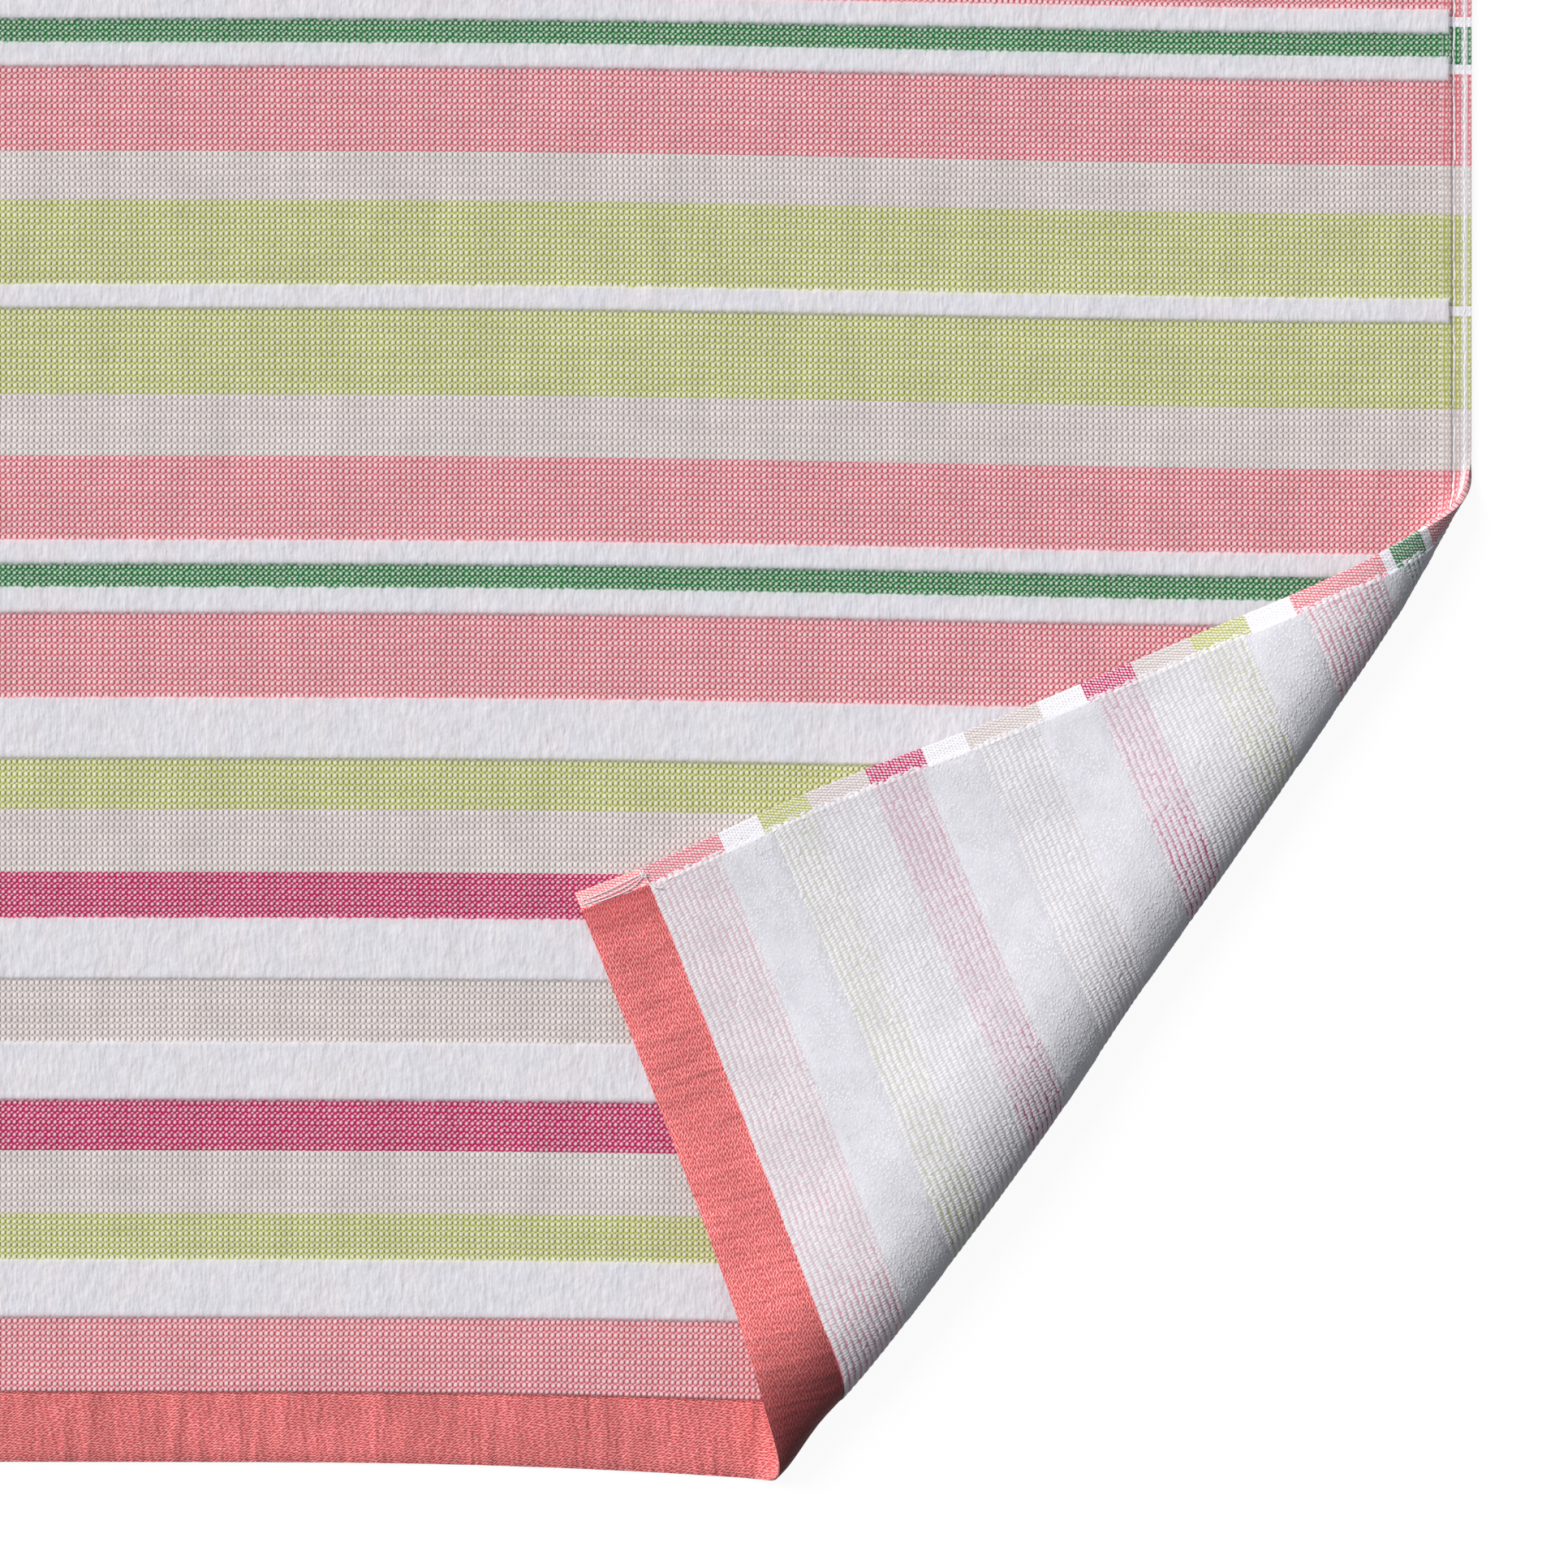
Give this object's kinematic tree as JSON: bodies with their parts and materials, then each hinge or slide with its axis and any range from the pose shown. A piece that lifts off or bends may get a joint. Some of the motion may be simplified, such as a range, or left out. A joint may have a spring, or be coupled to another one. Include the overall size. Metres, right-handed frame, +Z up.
{
  "type": "beach towel",
  "caption": "Striped cotton beach towel lying flat, velour front up, with one corner turned over to show its terry back and woven hems.",
  "frame": {"origin": "centre of the laid towel's box, on the surface it lies on", "axes": "+X across the towel's width along the stripes, +Y along its length away from the turned corner, +Z up from the surface"},
  "size_m": [0.8642, 1.6841, 0.0246],
  "materials": {
    "cloth": "cotton cloth in cross stripes of coral, white, lime, beige, magenta and green; woven and short velour stripes on the front, white terry loops on the back",
    "hem": "coral cotton twill of the turned end hems",
    "thread": "white cotton sewing thread"
  },
  "bodies": {
    "root": {"towel": "cloth"}
  },
  "joints": []
}
